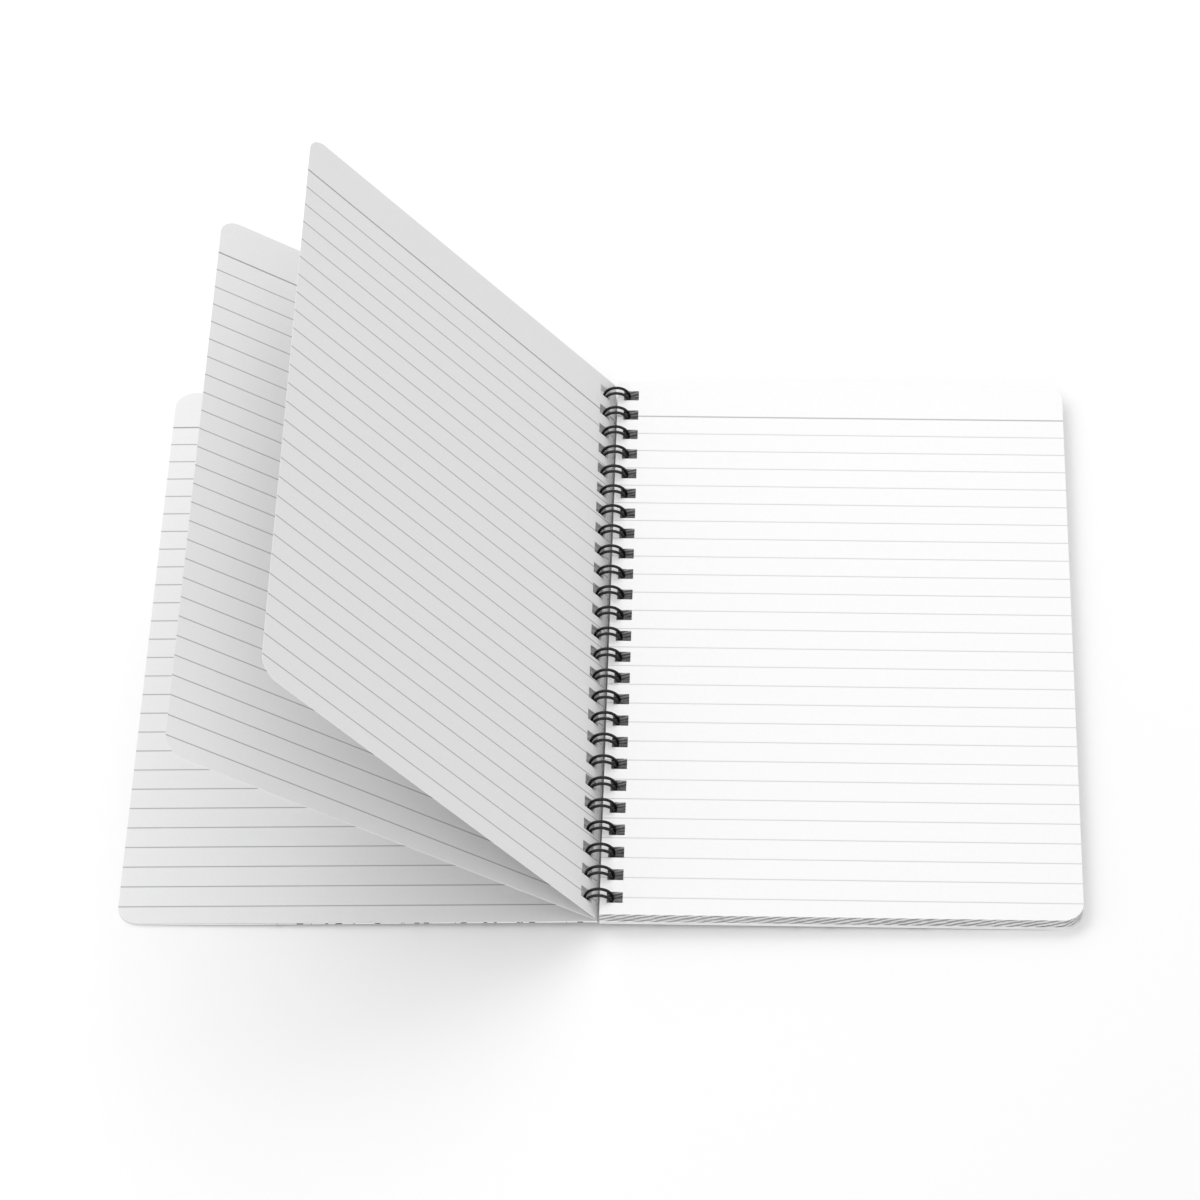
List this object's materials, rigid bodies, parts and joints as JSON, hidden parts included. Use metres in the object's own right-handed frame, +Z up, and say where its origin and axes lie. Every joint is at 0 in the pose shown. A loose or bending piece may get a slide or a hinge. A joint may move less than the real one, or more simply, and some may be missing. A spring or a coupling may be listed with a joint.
{
  "type": "twin-loop spiral notebook",
  "caption": "Open side-bound notebook with a black double-loop wire, punched ruled pages, two raised leaves and card covers that turn about the wire.",
  "frame": {"origin": "on the resting surface, under the wire's axis, halfway along the wire", "axes": "+X towards the page block, +Y along the wire towards the pages' top edge, +Z up"},
  "size_m": [0.2801, 0.216, 0.1121],
  "materials": {
    "page_paper": "matt",
    "leaf_paper": "matt",
    "cover_card": "satin",
    "back_board": "matt",
    "coated_wire": "semi-gloss"
  },
  "bodies": {
    "spine": {"page_block": "page_paper", "wire_binding": "coated_wire"},
    "front": {"front_cover": "cover_card"},
    "back": {"back_cover": "back_board"},
    "flat": {"flat_leaf": "leaf_paper"},
    "low": {"low_leaf": "leaf_paper"},
    "high": {"high_leaf": "leaf_paper"}
  },
  "joints": [
    {"name": "front_cover_turn", "type": "hinge", "parent": "spine", "child": "front", "pos_m": [0, 0, 0.00483], "axis": [0, 1, 0], "range_deg": [0, 181.9]},
    {"name": "back_cover_turn", "type": "hinge", "parent": "spine", "child": "back", "pos_m": [0, 0, 0.0045], "axis": [0, 1, 0], "range_deg": [0, 18]},
    {"name": "flat_leaf_turn", "type": "hinge", "parent": "spine", "child": "flat", "pos_m": [0, 0, 0.00484], "axis": [0, 1, 0], "range_deg": [0, 181.9]},
    {"name": "low_leaf_turn", "type": "hinge", "parent": "spine", "child": "low", "pos_m": [0.00014, 0, 0.00498], "axis": [0, 1, 0], "range_deg": [0, 149]},
    {"name": "high_leaf_turn", "type": "hinge", "parent": "spine", "child": "high", "pos_m": [0.00031, 0, 0.00514], "axis": [0, 1, 0], "range_deg": [0, 130.5]}
  ],
  "couplings": [
    {"joint": "flat_leaf_turn", "follows": "front_cover_turn", "ratio": 0.99928},
    {"joint": "low_leaf_turn", "follows": "front_cover_turn", "ratio": 0.81871},
    {"joint": "high_leaf_turn", "follows": "front_cover_turn", "ratio": 0.71702}
  ]
}
